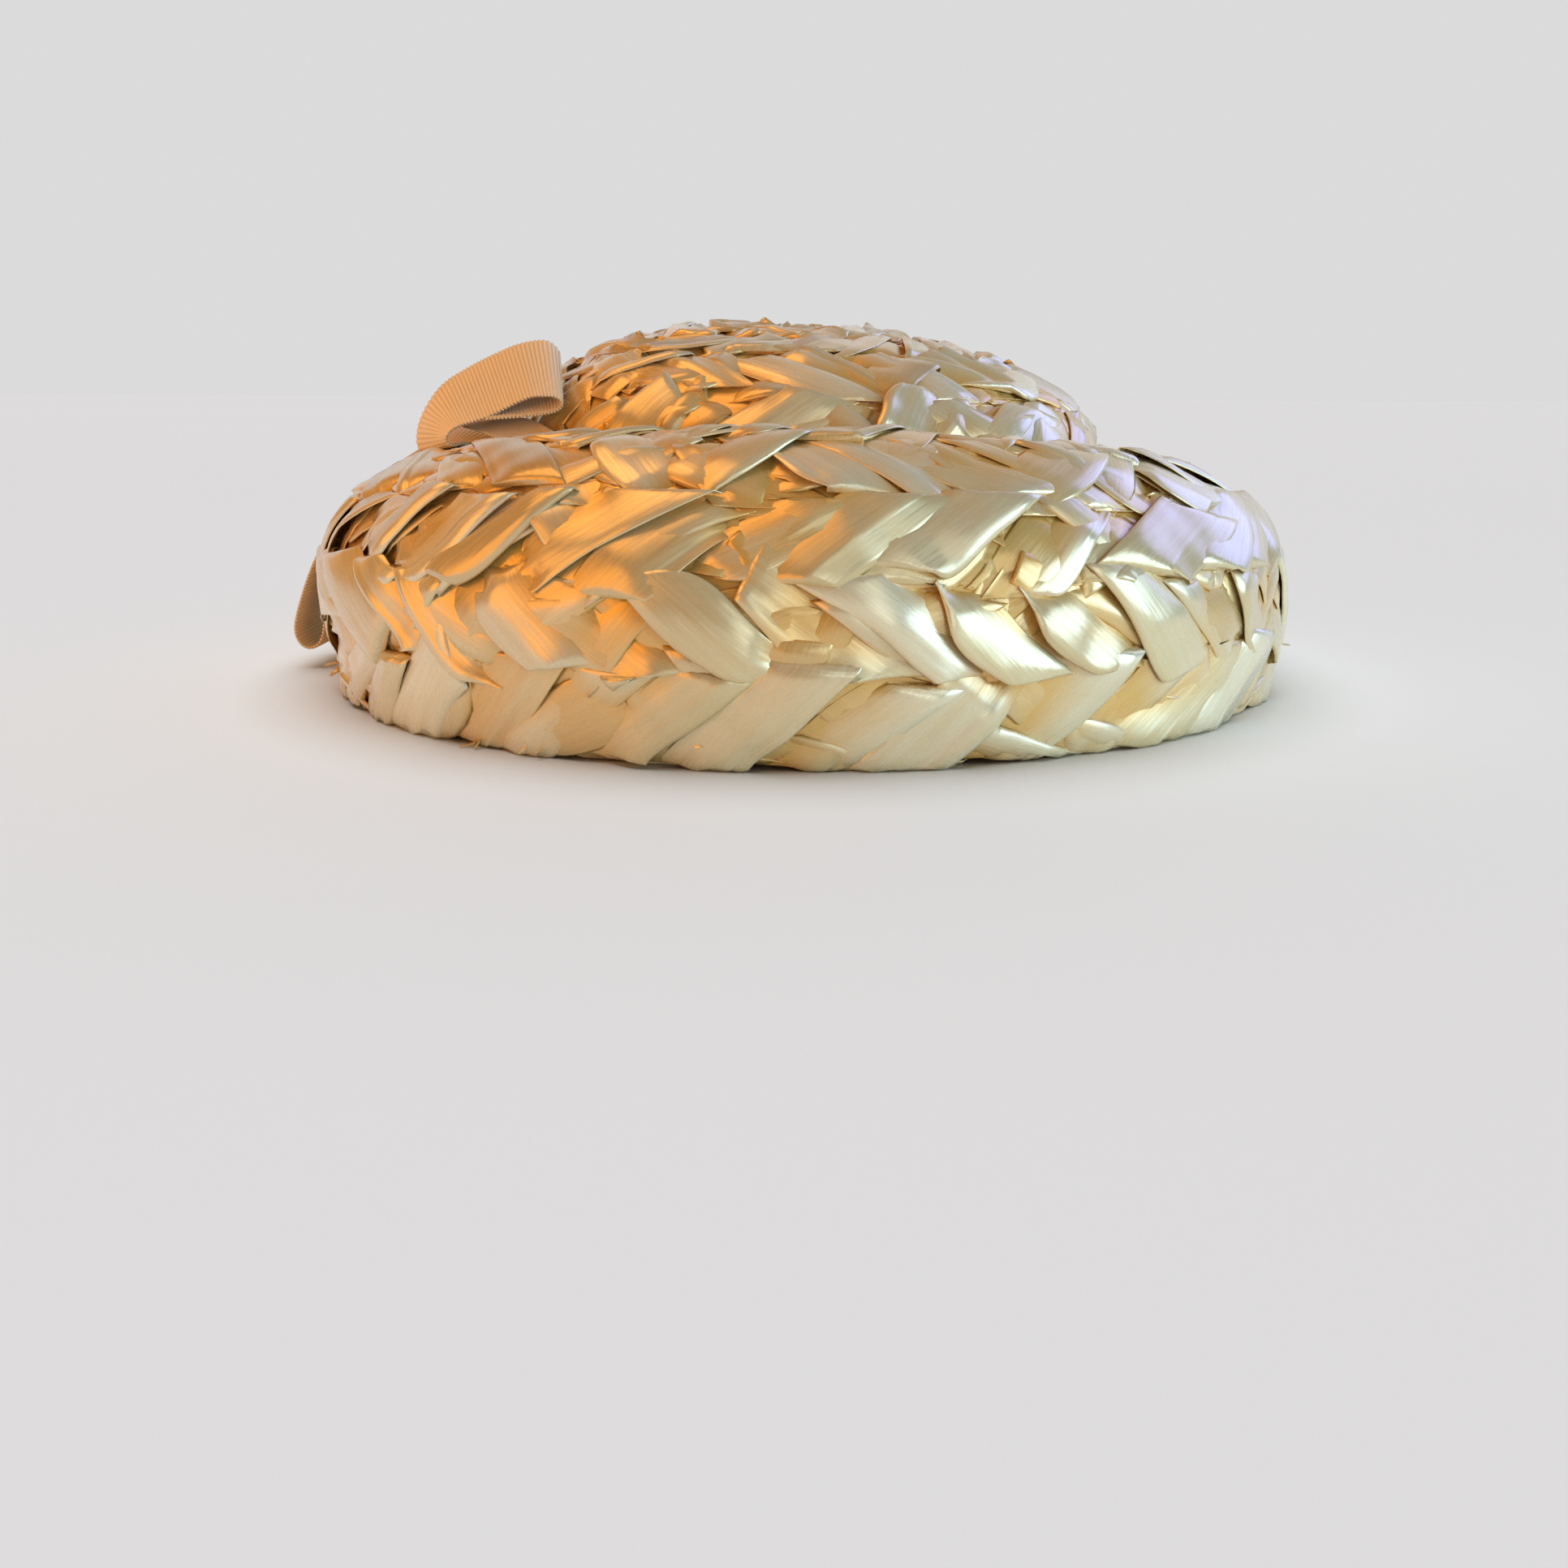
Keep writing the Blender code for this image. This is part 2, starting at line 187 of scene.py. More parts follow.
class Skin:
    """A surface of the hat, read at any turn (in radians) and row (a number of plait rows)."""

    TURNS = 240
    ROW_PLACES = 200

    def __init__(self, line_at, rows, last_row, lean):
        self.rows = rows
        self.last_row = last_row
        self.row_steps = np.linspace(0, last_row, self.ROW_PLACES)
        turns = np.arange(self.TURNS) / self.TURNS * math.tau
        radius = []
        height = []
        self.row_length = []
        for turn in turns:
            counted, line = line_at(turn)
            travelled = lengths_along(line)
            row_length = lengths_along(counted)[-1] / rows
            wanted = self.row_steps * row_length
            radius.append(np.interp(wanted, travelled, line[:, 0]))
            height.append(np.interp(wanted, travelled, line[:, 1]))
            self.row_length.append(row_length)
        self.radius = np.array(radius)
        self.height = np.array(height)
        self.row_length = np.array(self.row_length)
        angle = (turns + SIDES_TURN)[:, None]
        shift = lean_shift(self.height) if lean else np.zeros_like(self.height)
        left = -math.pi / 2 + SIDES_TURN
        side = np.array([math.sin(left), -math.cos(left)])
        x = self.radius * np.sin(angle) + shift * side[0]
        y = -self.radius * np.cos(angle) + shift * side[1]
        self.points = np.stack([x, y, self.height], -1)
        along_turn = np.roll(self.points, -1, 0) - np.roll(self.points, 1, 0)
        along_row = np.gradient(self.points, axis=1)
        normals = np.cross(along_row, along_turn)
        normals /= np.linalg.norm(normals, axis=-1, keepdims=True) + TINY
        middle = normals[:, self.ROW_PLACES // 2]
        outward = (middle * np.stack([np.sin(angle[:, 0]), -np.cos(angle[:, 0]),
                                      np.ones(self.TURNS)], -1)).sum()
        self.normals = normals if outward > 0 else -normals

    def read(self, table, turn, row):
        """The table's values between its own turns and rows."""
        across = (np.asarray(turn) / math.tau * self.TURNS) % self.TURNS
        down = np.clip(np.asarray(row) / self.last_row, 0, 1) * (len(self.row_steps) - 1)
        low_turn = np.floor(across).astype(int) % self.TURNS
        high_turn = (low_turn + 1) % self.TURNS
        low_row = np.minimum(np.floor(down).astype(int), len(self.row_steps) - 2)
        part_turn = across - np.floor(across)
        part_row = down - low_row
        if table.ndim == 3:
            part_turn = part_turn[..., None]
            part_row = part_row[..., None]
        near = table[low_turn, low_row] * (1 - part_row) + table[low_turn, low_row + 1] * part_row
        far = table[high_turn, low_row] * (1 - part_row) + table[high_turn, low_row + 1] * part_row
        return near * (1 - part_turn) + far * part_turn

    def length_of_row(self, turn):
        """How long one row is along the surface, in mm, at a turn."""
        return np.interp(turn % math.tau, np.arange(self.TURNS + 1) / self.TURNS * math.tau,
                         np.append(self.row_length, self.row_length[0]))

    def place(self, turn, row, lift, cap=None):
        """Points in mm at turns and rows, lifted off the surface but under a cap."""
        if cap is not None:
            lift = ease_into(lift, cap(turn, self.read(self.height, turn, row)), CAP_ROOM)
        normal = self.read(self.normals, turn, row)
        normal = normal / (np.linalg.norm(normal, axis=-1, keepdims=True) + TINY)
        return self.read(self.points, turn, row) + normal * np.asarray(lift)[..., None]


def lengths_along(line):
    """The length travelled along a line up to each of its points."""
    return np.concatenate([[0], np.cumsum(np.linalg.norm(np.diff(line, axis=0), axis=1))])


def lean_shift(height):
    """How far the crown leans towards the bow at a height."""
    shoulder = CROWN["shoulder_height"][0]
    return CROWN_LEAN * np.clip((height - shoulder) / (CROWN_TOP - shoulder), 0, 1) ** 2


def beside(turn, side, reach, edge):
    """1 near a side of the hat, and 0 beyond a reach, with a soft edge."""
    away = np.abs((turn - side + math.pi) % math.tau - math.pi)
    return smooth_step((reach - away) / edge)


def open_cap(turn, height):
    """The most a strip may stand up where nothing lies on it."""
    return np.full_like(height, MOST_LIFT)


def bow_cap(turn, height):
    """The most a brim strip may stand up: less beside the bow, whose loops lie on the brim."""
    return MOST_LIFT - PRESSED_BY * beside(turn, BOW_SIDE, BOW_REACH, BOW_REACH_EDGE)


def strap_cap(turn, height):
    """The most a strip on the brim's shoulder may stand up: less under the outer loop."""
    return MOST_LIFT - PRESSED_BY * beside(turn, STRAP_SIDE, STRAP_REACH, STRAP_REACH_EDGE)


def band_cap(turn, height):
    """The most a crown strip may stand up: less behind the ribbon band."""
    top = around(BRIM["valley_height"], turn) + BAND_FOOT + BAND_WIDTH
    top = top + BAND_RAISED * beside(turn, BOW_SIDE, BOW_REACH, BOW_REACH_EDGE)
    return BEHIND_BAND + (MOST_LIFT - BEHIND_BAND) * smooth_step((height - top) / BAND_EDGE)


def smooth_step(value):
    """0 up to 0, 1 from 1 on, and a smooth rise between them."""
    value = np.clip(value, 0, 1)
    return value * value * (3 - 2 * value)


def beyond(place, start, length):
    """0 up to a start, with a smooth rise to 1 over a length."""
    return smooth_step((place - start) / length)


# The smooth waves in a strip: how many, and the ranges of how wide and how slanted they are.
WAVES = 4
WAVE_WIDTHS = (0.7, 1.6)
WAVE_SLANTS = (-1.3, 1.3)


def waves(rng, along, across, long_wave, short_wave, height):
    """A sum of smooth waves that run nearly along the strip, like the puckers of a flattened straw."""
    total = np.zeros_like(along)
    for _ in range(WAVES):
        phase = rng.uniform(0, math.tau)
        wide = rng.uniform(*WAVE_WIDTHS) * math.tau / short_wave
        long = rng.uniform(*WAVE_SLANTS) * math.tau / long_wave
        total += np.sin(across * wide + along * long + phase)
    return total * height / WAVES


def cross_steps(fold):
    """Places across a strip, close together at its rolled edges and at its lengthwise fold."""
    return np.array(sorted([*CROSS_STEPS, fold - FOLD_STEP, fold + FOLD_STEP]))


# How a strip ends: folded over along the row, folded over squarely, or tucked under the next row.
ENDS = {
    "flat": {"over": 1.0, "cut": (0.75, 1.1)},
    "square": {"over": 1.0, "cut": (-0.65, 0.15)},
    "tuck": {"over": 0.0, "cut": (-0.2, 0.6)},
}


def pick_ends(rng, chances):
    """Both ends of a strip, at least one of them over the next row."""
    names = [rng.choice(list(ENDS), p=chance) for chance in chances]
    if names == ["tuck", "tuck"]:
        names[rng.integers(0, 2)] = "flat"
    return [(ENDS[name]["over"], rng.uniform(*ENDS[name]["cut"])) for name in names]


# The ranges that a strip's outline is drawn from: shares of its look's width and length, the place
# of its fold, the waver and taper of its width, how far a tucked end narrows and steps aside, and
# how far its middle bows out, in mm.
WIDTHS = (0.76, 1.14)
LENGTHS = (0.88, 1.12)
FOLDS = (0.3, 0.68)
WAVER = 0.07
WAVERS = (2, 5)
TAPERS = (0.0, 0.3)
NARROWINGS = (0.3, 0.6)
STEPS_ASIDE = (-0.25, 0.25)
BOWS = (-3, 3)
LEAST_SLANT = 0.6

# The ranges that its lift off the surface is drawn from, in mm before its look's relief.
TILTS = (0.4, 1.5)
TWISTS = (-0.8, 0.8)
ARCHES = (-0.2, 0.7)
HUMPS = (-0.5, 1.0)
END_LIFTS = (0.5, 1.6)
TUCK_DROPS = (1.6, 2.4)
FOLD_JUMPS = (0.0, 0.3, -0.25)
TUCK_PUCKER = 1.5
PUCKERS = ((60, 9, 0.30), (50, 3.2, 0.07))
CREASES = 2
CREASE_TURN = 0.5
CREASE_PLACES = (-0.7, 0.7)
CREASE_SLOPES = (0.03, 0.09)
MOST_CREASED = 1.3
EDGE_FALLS = (0.2, 0.6)
EDGE_ROLL = 10
END_FALLS = (0.6, 0.95)

# Where these start along a half strip, and over what share of it they grow.
GATHER_GROWS = (0.35, 0.65)
END_LIFT_GROWS = (0.2, 0.7)
TUCK_GROWS = (0.4, 0.5)
END_FALL_GROWS = (0.94, 0.06)


def strip_grid(rng, lean, look):
    """One strip's own places: sideways and upward in mm, its lift, and its length and width places."""
    crumple = look["crumple"]
    relief = look["relief"]
    width = look["width"] * rng.uniform(*WIDTHS)
    length = look["length"] * rng.uniform(*LENGTHS)
    angle = STRIP_ANGLE * look["slope"] + math.radians(rng.normal(0, look["stray"]))
    angle = min(max(angle, FLATTEST), STEEPEST)
    fold = rng.uniform(*FOLDS)
    long_steps = LONG_STEPS if look["fine"] else FEW_LONG_STEPS
    cross = cross_steps(fold) if look["fine"] else FEW_CROSS_STEPS
    share, rise = np.meshgrid(long_steps, cross, indexing="ij")
    side = rise * look["rolled_side"]
    ends = pick_ends(rng, look["ends"])
    over = np.where(share > 0, ends[1][0], ends[0][0])
    cut = np.where(share > 0, ends[1][1], ends[0][1])
    far = np.abs(share)

    gather = (1 - over) * beyond(far, *GATHER_GROWS)
    wobble = 1 + WAVER * np.sin(share * rng.uniform(*WAVERS) + rng.uniform(0, math.tau))
    wobble = wobble * (1 - rng.uniform(*TAPERS) * far ** 2)
    across = side * width / 2 * (1 - rng.uniform(*NARROWINGS) * gather) * wobble
    across = across + gather * rng.uniform(*STEPS_ASIDE) * width + rng.uniform(*BOWS) * (1 - share ** 2)
    slant = 1 / max(math.tan(angle), LEAST_SLANT)
    along = share * length / 2 + cut * far ** 3 * lean * across * slant
    sideways = along * lean * math.cos(angle) + across * math.sin(angle)
    upward = along * math.sin(angle) - across * lean * math.cos(angle)

    lift = relief * rng.uniform(*TILTS) * rise * (1 + rng.uniform(*TWISTS) * share)
    lift += relief * (rng.uniform(*ARCHES) * (1 - rise ** 2) + rng.uniform(*HUMPS) * (1 - share ** 2))
    lift += relief * over * rng.uniform(*END_LIFTS) * beyond(far, *END_LIFT_GROWS)
    lift -= (1 - over) * rng.uniform(*TUCK_DROPS) * beyond(far, *TUCK_GROWS)
    lift += rng.choice(FOLD_JUMPS) * smooth_step((rise - fold + FOLD_STEP) / (2 * FOLD_STEP))
    pucker = 1 + TUCK_PUCKER * gather
    for long_wave, short_wave, height in PUCKERS:
        lift += waves(rng, along, across, long_wave, short_wave, height * crumple) * pucker
    for _ in range(rng.integers(0, 1 + int(round(CREASES * crumple)))):
        turned_by = rng.normal(0, CREASE_TURN)
        offset = rng.uniform(*CREASE_PLACES) * length / 2
        past_crease = along * math.cos(turned_by) + across * math.sin(turned_by) - offset
        lift -= rng.uniform(*CREASE_SLOPES) * min(crumple, MOST_CREASED) * np.abs(past_crease)
    fall = rng.uniform(*EDGE_FALLS) * np.abs(rise) ** EDGE_ROLL
    fall = np.maximum(fall, over * rng.uniform(*END_FALLS) * beyond(far, *END_FALL_GROWS))
    lift = lift * (1 - fall) + EDGE_LEVEL * fall
    return sideways, upward, lift, along, across


# The millimetres to one unit of the strips' map, and how far apart strips are thrown on it.
MAP_UNIT = 10
MAP_SPREAD = 50


class Plait:
    """Gathers strips into one mesh, with a length-and-width map, a tone for each strip and painted shade.
    """

    def __init__(self):
        self.points = []
        self.faces = []
        self.maps = []
        self.tones = []
        self.painted_shades = []
        self.count = 0

    def add(self, points, along, across, tone, rng, painted_shade):
        rows, columns = along.shape
        index = np.arange(rows * columns).reshape(rows, columns) + self.count
        quads = np.stack([index[:-1, :-1], index[1:, :-1], index[1:, 1:], index[:-1, 1:]], -1)
        self.points.append(points.reshape(-1, 3))
        self.faces.append(quads.reshape(-1, 4))
        where = np.stack([along / MAP_UNIT + rng.uniform(0, MAP_SPREAD),
                          across / MAP_UNIT + rng.uniform(0, MAP_SPREAD)], -1)
        self.maps.append(where.reshape(-1, 2))
        self.tones.append(np.full(rows * columns, tone))
        self.painted_shades.append(np.clip(np.broadcast_to(painted_shade, along.shape), 0, 1).reshape(-1))
        self.count += rows * columns

    def build(self, name, material, thickness=STRIP_THICK):
        mesh = bpy.data.meshes.new(name)
        points = np.concatenate(self.points) * MM + np.array(HAT_MIDDLE)
        faces = np.concatenate(self.faces)
        mesh.from_pydata(points.tolist(), [], faces.tolist())
        where = np.concatenate(self.maps)
        layer = mesh.uv_layers.new(name="strip")
        layer.data.foreach_set("uv", where[faces.reshape(-1)].reshape(-1))
        for attribute, values in (("tone", self.tones), ("painted_shade", self.painted_shades)):
            layer = mesh.attributes.new(attribute, "FLOAT", "POINT")
            layer.data.foreach_set("value", np.concatenate(values))
        return add_piece(name, mesh, material, thickness)


def add_piece(name, mesh, material, thickness):
    piece = bpy.data.objects.new(name, mesh)
    bpy.context.scene.collection.objects.link(piece)
    mesh.materials.append(material)
    mesh.shade_smooth()
    if thickness:
        solid = piece.modifiers.new("thickness", "SOLIDIFY")
        solid.thickness = thickness * MM
        solid.offset = -1
    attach(piece, "root")
    return piece


# How far strips stray from even places: along the row, across it, and in height in mm.
PLACE_STRAYS = (-0.16, 0.16)
ROW_STRAYS = (-0.12, 0.12)
LIFT_STRAYS = (-0.4, 0.4)

# The rooms, in rows, in which strips slow down at the first and the last row they may reach.
FIRST_ROOM = 0.15
LAST_ROOM = 0.3
LEAST_RADIUS = 4.0

# Painted shade: none at a lift of this many mm or more, growing to full shade a range further down.
PAINTED_SHADE_TOP = 0.8
PAINTED_SHADE_RANGE = 1.9


def plait_row(plait, skin, rng, row, count, lean, up_sign, look):
    """One row of strips side by side round the hat."""
    for number in range(count):
        turn = (number + 0.5 * (row % 2) + rng.uniform(*PLACE_STRAYS)) / count * math.tau
        middle = row + 0.5 + look["shift"] + rng.uniform(*ROW_STRAYS)
        sideways, upward, lift, along, across = strip_grid(rng, lean, look)
        rows = middle + up_sign * upward / skin.length_of_row(np.array(turn))
        rows = ease_into(rows, look["first"], -FIRST_ROOM)
        rows = ease_into(rows, look["last"], LAST_ROOM)
        radius = skin.read(skin.radius, np.full_like(rows, turn), rows)
        turns = turn + sideways / np.maximum(radius, LEAST_RADIUS)
        lift = lift + look["lift"] + rng.uniform(*LIFT_STRAYS)
        points = skin.place(turns, rows, look["side"] * lift + look["base"], look["cap"])
        points[..., 2] = np.maximum(points[..., 2], LOWEST)
        # Low-lying places of the strip get painted shade, more the lower they lie.
        plait.add(points, along, across, rng.uniform(0, 1), rng, (PAINTED_SHADE_TOP - lift) / PAINTED_SHADE_RANGE)


# The looks of strips: on top, under the top ones, round the hem, and on the hat's inside.
# Widths, lengths, lifts and bases are in mm, strays in degrees, first, last and shift in rows.
OVER_MOSTLY = ((0.72, 0.06, 0.22), (0.66, 0.06, 0.28))
UNDER_MOSTLY = ((0.2, 0.2, 0.6), (0.2, 0.2, 0.6))
MAIN = {"width": 18.5, "length": 50.0, "ends": OVER_MOSTLY, "rolled_side": 1, "crumple": 1.25,
        "stray": 6.0, "fine": True, "lift": 0.1, "side": 1, "base": 0.0, "cap": open_cap,
        "first": 0.0, "last": BRIM_ROWS + HEM_ROWS, "slope": 1.0, "shift": 0.0, "relief": 1.0}
UNDER = {**MAIN, "width": 17.0, "length": 38.0, "crumple": 1.6, "stray": 14.0, "fine": False,
         "lift": -0.9, "ends": UNDER_MOSTLY}
HEM = {**UNDER, "width": 11.0, "length": 46.0, "slope": 0.45, "stray": 5.0, "lift": -0.5, "shift": 0.55}
INSIDE = {**MAIN, "width": 17.0, "length": 48.0, "fine": False, "side": -0.4, "base": -2.5, "cap": None}
BRIM_INSIDE = {**INSIDE, "first": 0.15, "last": 5.9}
CROWN_MAIN = {**MAIN, "width": 15.5, "length": 31.0, "crumple": 2.0, "stray": 12.0, "relief": 1.2,
              "last": 6.0}
CROWN_UNDER = {**UNDER, "width": 12.0, "length": 32.0, "last": 6.0}
CROWN_INSIDE = {**INSIDE, "width": 16.0, "length": 42.0, "first": 0.1, "last": 5.95}

# The brim's rows from the groove to the rim: how many strips, their relief, length, slope and cap.
BRIM_LOOKS = (
    (31, 0.6, 32.0, 1.15, bow_cap),
    (35, 0.8, 33.0, 1.2, bow_cap),
    (38, 1.2, 35.0, 1.1, strap_cap),
    (40, 1.6, 38.0, 1.0, open_cap),
    (40, 1.8, 40.0, 1.0, open_cap),
    (39, 1.5, 40.0, 1.0, open_cap),
)
RIM_SHIFT = 0.1

# The crown's rows from its foot to its top: how many strips, their size and cap.
CROWN_LOOKS = (
    (31, 1.0, band_cap),
    (31, 1.0, band_cap),
    (30, 1.0, band_cap),
    (26, 0.95, open_cap),
    (19, 0.8, open_cap),
    (9, 0.55, open_cap),
)

# Which way a skin's rows run, up or down, and how many strips more or fewer lie under a row.
UP = 1
DOWN = -1
MORE_UNDER_BRIM = 1
FEWER_HIDDEN = 2

# What the random draws of each part of the hat start from.
BRIM_SEED = 100
BRIM_INSIDE_SEED = 150
CROWN_SEED = 200
FRAYED_SEED = 300
BRIM_BASE_SEED = 1
CROWN_BASE_SEED = 2
RING_SEED = 3
RIBBON_SEED = 7


def style(look, size=1.0, **changes):
    """A look with its strips scaled to a size, and some of its values changed."""
    scaled = {"width": look["width"] * size, "length": look["length"] * size}
    return {**look, **scaled, **changes}


def lean_of(row):
    """Which way the strips of a row lean."""
    return 1 if row % 2 == 1 else -1


def brim_plait(skin, material):
    """The rows of the brim, from the groove beside the crown to the rim and a little under it."""
    for row, (count, relief, length, slope, cap) in enumerate(BRIM_LOOKS):
        rng = np.random.default_rng(BRIM_SEED + row)
        lean = lean_of(row)
        plait = Plait()
        for under_lean in (lean, -lean):
            plait_row(plait, skin, rng, row, count + MORE_UNDER_BRIM, under_lean, DOWN,
                      style(UNDER, cap=cap, rolled_side=under_lean))
        last_row = row == BRIM_ROWS - 1
        if last_row:
            plait_row(plait, skin, rng, row, count, -lean, DOWN, HEM)
        plait_row(plait, skin, rng, row, count, lean, DOWN,
                  style(MAIN, cap=cap, rolled_side=lean, shift=RIM_SHIFT * last_row, relief=relief,
                        length=length, slope=slope))
        finish_piece(plait.build(f"brim_plait_row_{row + 1}", material), "brim")
    inside = Plait()
    rng = np.random.default_rng(BRIM_INSIDE_SEED)
    for row, (count, *_) in enumerate(BRIM_LOOKS):
        plait_row(inside, skin, rng, row, count - FEWER_HIDDEN, lean_of(row), DOWN, BRIM_INSIDE)
    finish_piece(inside.build("brim_inside_plait", material), "brim")


def crown_plait(skin, material):
    """The rows of the crown, from its foot in the groove to its top."""
    inside = Plait()
    for row, (count, size, cap) in enumerate(CROWN_LOOKS):
        rng = np.random.default_rng(CROWN_SEED + row)
        lean = lean_of(row)
        plait = Plait()
        for under_lean in (lean, -lean):
            plait_row(plait, skin, rng, row, count - FEWER_HIDDEN, under_lean, UP,
                      style(CROWN_UNDER, size, cap=cap))
        plait_row(plait, skin, rng, row, count, lean, UP,
                  style(CROWN_MAIN, size, cap=cap, rolled_side=-lean))
        finish_piece(plait.build(f"crown_plait_row_{row + 1}", material), "crown")
        plait_row(inside, skin, rng, row, count - FEWER_HIDDEN, lean, UP, style(CROWN_INSIDE, size))
    finish_piece(inside.build("crown_inside_plait", material), "crown")


# Where straw ends stick out by the rim: turn from the near side, row, and how many.
TUFTS = ((math.radians(-74), 5.75, 3), (math.radians(-36), 6.0, 2), (math.radians(-28), 6.02, 2),
         (math.radians(73), 5.3, 2))


# The steps along such an end, how far its root strays, and the ranges of its shape, in mm.
END_STEPS = 7
ROOT_TURN_STRAY = 0.014
ROOT_ROW_STRAY = 0.06
ROOT_LIFT = 0.4
END_STRAY = 0.45
END_CURLS = (-2.2, 2.2)
END_LENGTHS = (2.5, 5.0)
END_HALF_WIDTHS = (0.5, 0.9)
END_TAPER = 0.5
END_THICK = 0.4
# The share of painted shade on the frayed ends.
END_PAINTED_SHADE = 0.3
END_MAP_LENGTH = 4


def frayed_ends(skin, material):
    """Small curled ends of straw that stick out by the rim."""
    rng = np.random.default_rng(FRAYED_SEED)
    share = np.linspace(0, 1, END_STEPS)[:, None]
    edges = np.array([-1.0, 0.0, 1.0])
    plait = Plait()
    for turn, row, count in TUFTS:
        for _ in range(count):
            start_turn = np.array(turn + rng.normal(0, ROOT_TURN_STRAY))
            start_row = np.array(row + rng.normal(0, ROOT_ROW_STRAY))
            start = skin.place(start_turn, start_row, np.array(ROOT_LIFT))
            ahead = skin.read(skin.normals, start_turn, start_row) + rng.normal(0, END_STRAY, 3)
            ahead /= np.linalg.norm(ahead)
            flat = np.cross(ahead, rng.normal(0, 1, 3))
            flat /= np.linalg.norm(flat)
            curl = np.cross(ahead, flat) * rng.uniform(*END_CURLS)
            path = start + ahead * share * rng.uniform(*END_LENGTHS) + curl * share ** 2
            half_width = rng.uniform(*END_HALF_WIDTHS) * (1 - END_TAPER * share)
            points = path[:, None] + flat * (half_width * edges)[..., None]
            points[..., 2] = np.maximum(points[..., 2], LOWEST)
            along, across = np.meshgrid(share[:, 0] * END_MAP_LENGTH, edges, indexing="ij")
            plait.add(points, along, across, rng.uniform(0, 1), rng, END_PAINTED_SHADE)
    finish_piece(plait.build("frayed_ends", material, END_THICK), "brim")


def finish_piece(piece, node):
    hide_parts(node)


def weld_seam(piece):
    """Joins the first and the last places of a ring."""
    weld = piece.modifiers.new("weld", "WELD")
    weld.merge_threshold = WELD_REACH


# The base under the strips: its places round the hat and along it, and its ripples in mm.
BASE_TURNS = 150
BASE_PLACES = 50
RIPPLES = 12
RIPPLE_HEIGHT = 0.04
RIPPLE_TURNS = (20, 60)
RIPPLE_SLANTS = (-9, 9)


def base_shell(name, skin, material, node, seed):
    """The closed layer under the strips, a little crumpled on its outside, in full painted shade."""
    rng = np.random.default_rng(seed)
    turns = np.arange(BASE_TURNS) / BASE_TURNS * math.tau
    rows = np.linspace(0, skin.last_row, BASE_PLACES)
    turn_grid, row_grid = np.meshgrid(turns, rows, indexing="ij")
    outer = np.full_like(turn_grid, BASE_OUTER)
    for _ in range(RIPPLES):
        outer += RIPPLE_HEIGHT * np.sin(turn_grid * rng.integers(*RIPPLE_TURNS)
                                        + row_grid * rng.uniform(*RIPPLE_SLANTS)
                                        + rng.uniform(0, math.tau))
    outside = skin.place(turn_grid, row_grid, outer)
    inside = skin.place(turn_grid, row_grid, np.full_like(outer, -WALL))
    section = np.concatenate([outside, inside[:, ::-1]], 1)
    close_ring(name, section, material, node)


# How far apart the places of a ring lie on its map, round the hat and along it, in mm.
RING_MAP_STEPS = (3.0, 1.5)


def close_ring(name, sections, material, node):
    """One closed body from equal closed sections that follow each other round the hat."""
    turns, places = sections.shape[:2]
    ring = Plait()
    grid = np.concatenate([sections, sections[:, :1]], 1)
    grid = np.concatenate([grid, grid[:1]])
    along, across = np.meshgrid(np.arange(turns + 1) * RING_MAP_STEPS[0],
                                np.arange(places + 1) * RING_MAP_STEPS[1], indexing="ij")
    # The whole ring gets full painted shade, as it lies deepest under the strips.
    ring.add(grid, along, across, 0.5, np.random.default_rng(RING_SEED), 1.0)
    piece = ring.build(name, material, thickness=None)
    weld_seam(piece)
    finish_piece(piece, node)


LIP_TURNS = 160
LIP_OVERLAP = 0.5


def groove_lip(material):
    """The brim's lip, which turns in under the crown's foot."""
    turns = np.arange(LIP_TURNS) / LIP_TURNS * math.tau
    inner = around(BRIM["valley_radius"], turns) - GAP - LIP_REACH - WALL
    outer = around(BRIM["valley_radius"], turns) + LIP_OVERLAP
    top = around(BRIM["valley_height"], turns)
    angle = turns + SIDES_TURN
    corners = [(inner, top), (outer, top), (outer, top - WALL), (inner, top - WALL)]
    section = [np.stack([r * np.sin(angle), -r * np.cos(angle), z], -1) for r, z in corners]
    close_ring("brim_lip", np.stack(section, 1), material, "brim")


def node_of(tree, kind, **values):
    """A new shader node with its inputs or settings given by name."""
    node = tree.nodes.new(kind)
    for name, value in values.items():
        if name in node.inputs:
            node.inputs[name].default_value = value
        else:
            setattr(node, name, value)
    return node


def maths(tree, operation, *values):
    """An operation on numbers and on what other nodes give."""
    node = node_of(tree, "ShaderNodeMath", operation=operation)
    for socket, value in zip(node.inputs, values):
        if isinstance(value, bpy.types.NodeSocket):
            tree.links.new(value, socket)
        else:
            socket.default_value = value
    return node.outputs["Value"]


def mapped(tree, value, start, end, low=0.0, high=1.0, ease="LINEAR"):
    """A value carried from start and end to low and high, straight or eased."""
    node = node_of(tree, "ShaderNodeMapRange", interpolation_type=ease)
    for name, number in (("From Min", start), ("From Max", end), ("To Min", low), ("To Max", high)):
        node.inputs[name].default_value = number
    tree.links.new(value, node.inputs["Value"])
    return node.outputs["Result"]


def ramped(tree, value, stops):
    """A colour that runs through stops, each of them a place and a colour."""
    node = node_of(tree, "ShaderNodeValToRGB")
    elements = node.color_ramp.elements
    for element, (place, colour) in zip(list(elements), (stops[0], stops[-1])):
        element.position = place
        element.color = (*colour, 1)
    for place, colour in stops[1:-1]:
        elements.new(place).color = (*colour, 1)
    tree.links.new(value, node.inputs["Fac"])
    return node.outputs["Color"]


